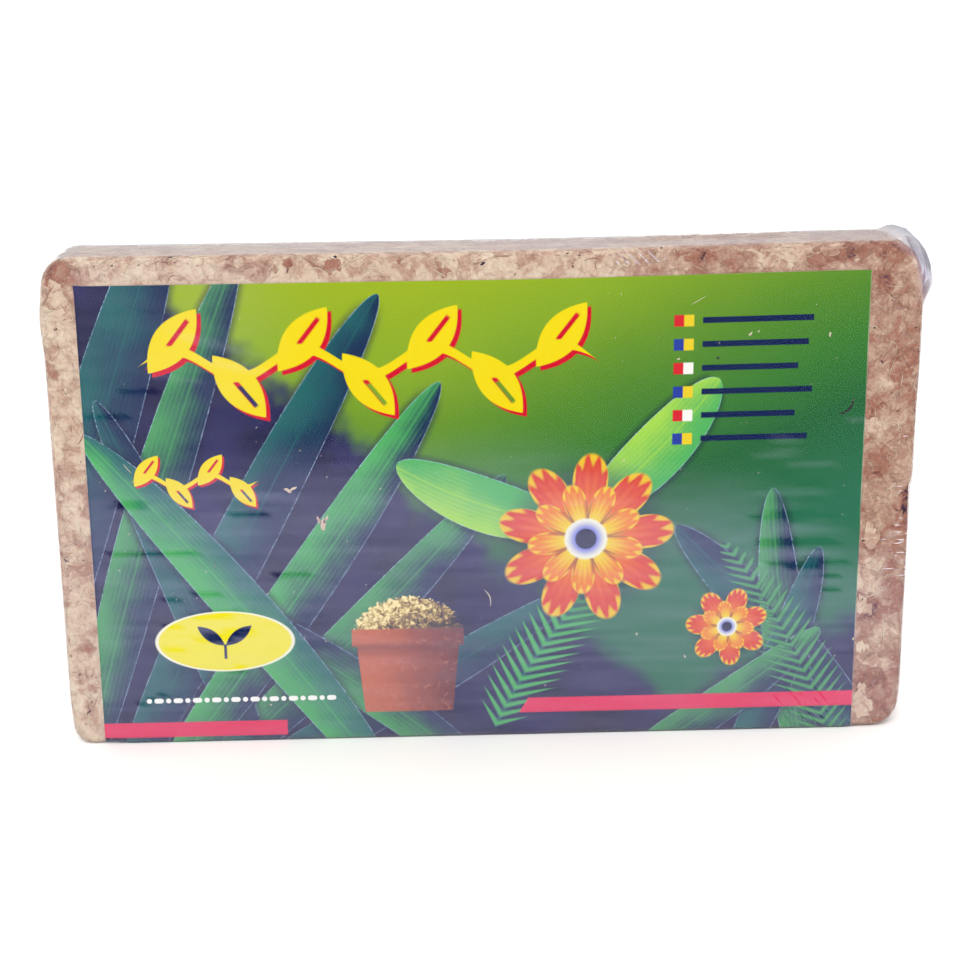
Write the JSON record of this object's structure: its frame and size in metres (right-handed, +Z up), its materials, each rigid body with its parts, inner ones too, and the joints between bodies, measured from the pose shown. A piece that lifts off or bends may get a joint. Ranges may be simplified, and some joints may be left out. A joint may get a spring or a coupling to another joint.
{
  "type": "pressed sphagnum moss block",
  "caption": "Upright slab of pressed dried sphagnum moss with a folded printed label, sealed in clear shrink film with a small loose ear at one top corner.",
  "frame": {"origin": "middle of the pack's long lower side, on the surface that it stands on", "axes": "+X along the pack's length, to the right when the label is read; -Y out of the front; +Z up"},
  "size_m": [0.2027, 0.02, 0.1198],
  "materials": {
    "pressed_moss": "matt dry fibre, mottled cream, tan and rust",
    "printed_label": "glossy print in lime, green and dark teal, with a pale cut edge",
    "clear_film": "clear glossy shrink film with fine creases"
  },
  "bodies": {
    "root": {"moss_block": "pressed_moss", "label": "printed_label", "shrink_film": "clear_film"}
  },
  "joints": []
}
